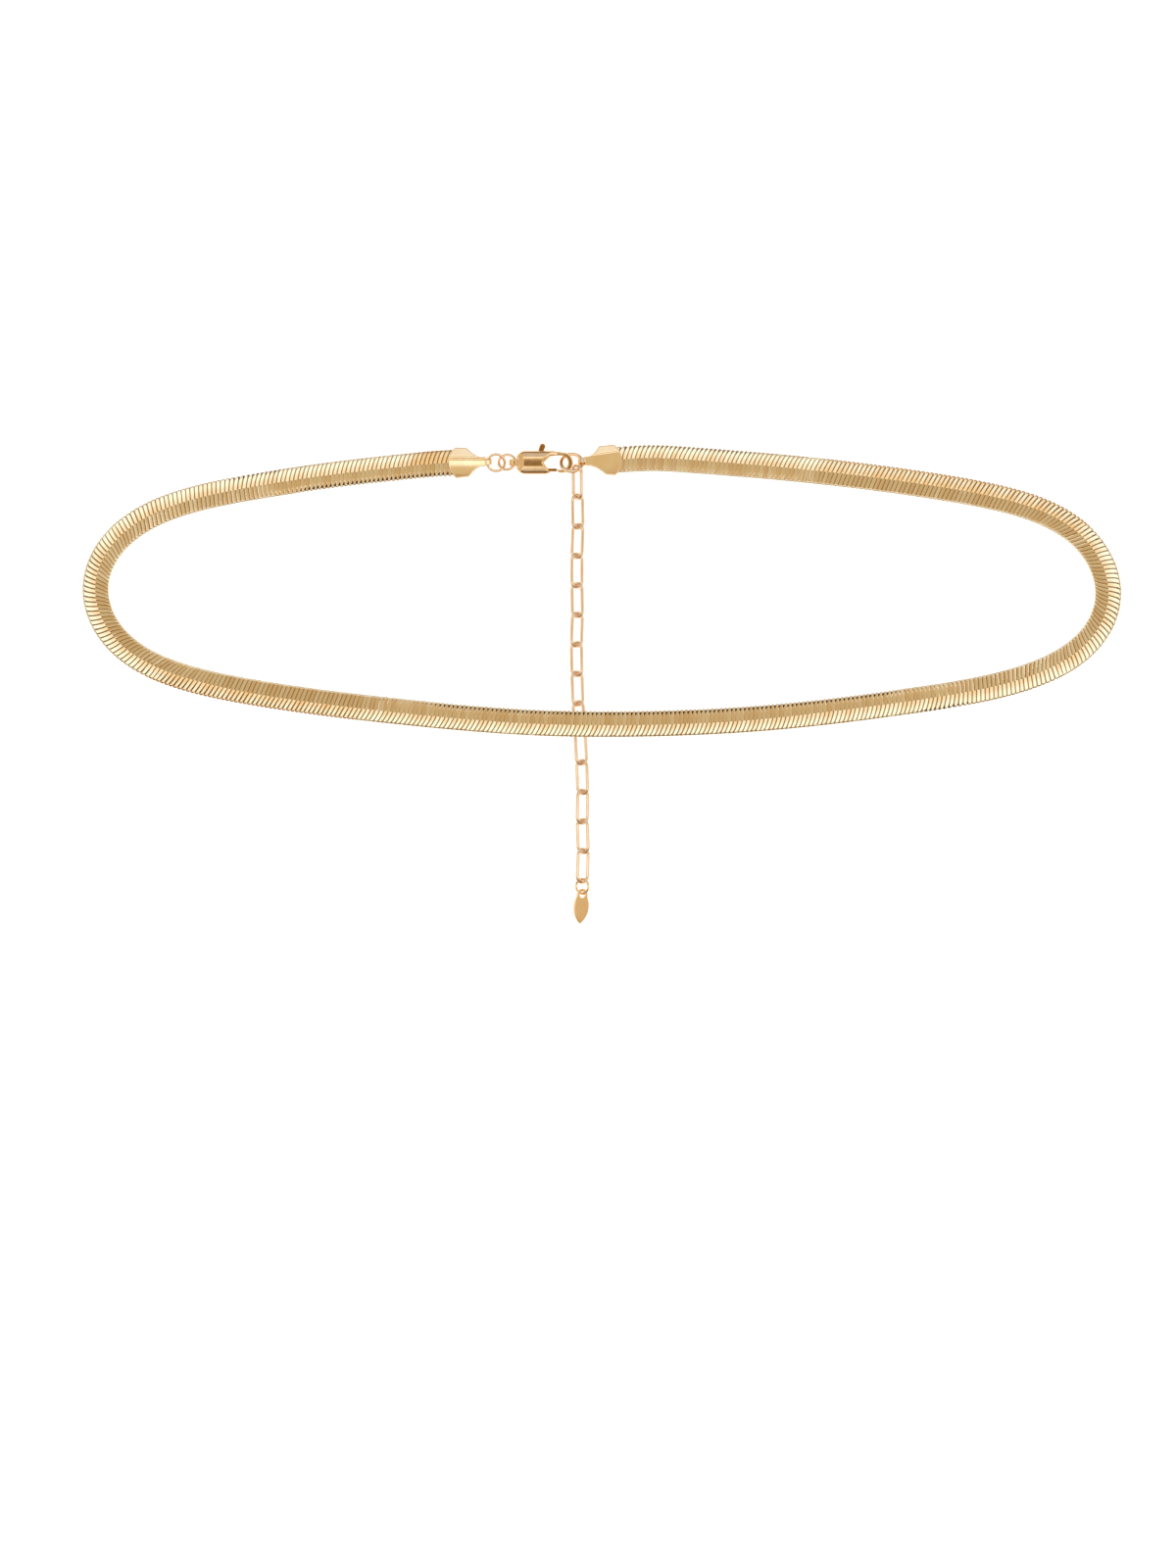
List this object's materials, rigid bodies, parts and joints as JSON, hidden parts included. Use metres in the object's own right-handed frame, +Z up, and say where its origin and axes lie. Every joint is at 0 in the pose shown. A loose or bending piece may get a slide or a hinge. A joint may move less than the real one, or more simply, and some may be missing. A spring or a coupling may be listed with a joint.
{
  "type": "herringbone chain necklace",
  "caption": "Flat herringbone chain necklace with crimped end caps, a lobster clasp, and an extender chain of long links that ends in a small leaf-shaped tag.",
  "frame": {"origin": "centre of the necklace's bounding box, at the height of the surface it lies on", "axes": "+X to the right in the picture along the necklace's long side, +Y towards the clasp (the top of the picture), +Z up out of the surface"},
  "size_m": [0.1973, 0.0911, 0.0035],
  "materials": {
    "band_gold": "gold-plated, polished flat faces with a fine grain",
    "cap_gold": "gold-plated, polished pressed sheet",
    "ring_gold": "gold-plated, polished wire",
    "clasp_gold": "gold-plated, polished casting",
    "lever_gold": "gold-plated, satin",
    "link_gold": "gold-plated, polished wire",
    "tag_gold": "gold-plated, polished plate"
  },
  "bodies": {
    "necklace": {"herringbone_band": "band_gold", "end_cap_left": "cap_gold", "end_cap_right": "cap_gold", "cap_ring": "ring_gold", "clasp_ring": "ring_gold", "join_ring": "ring_gold", "clasp_body": "clasp_gold", "clasp_pin": "clasp_gold", "extender_link_1": "link_gold", "extender_link_2": "link_gold", "extender_link_3": "link_gold", "extender_link_4": "link_gold", "extender_link_5": "link_gold", "extender_link_6": "link_gold", "extender_link_7": "link_gold", "extender_link_8": "link_gold", "extender_link_9": "link_gold", "extender_link_10": "link_gold", "extender_link_11": "link_gold", "extender_link_12": "link_gold", "extender_link_13": "link_gold", "extender_link_14": "link_gold", "tag_ring": "ring_gold", "tag": "tag_gold"},
    "lever": {"clasp_lever": "lever_gold"}
  },
  "joints": [
    {"name": "clasp_lever_hinge", "type": "hinge", "parent": "necklace", "child": "lever", "pos_m": [-0.01173, 0.04128, 0.00135], "axis": [0, 0, 1], "range_deg": [0, 22], "stiffness_Nm_per_rad": 0.006, "springref_deg": -17.19}
  ]
}
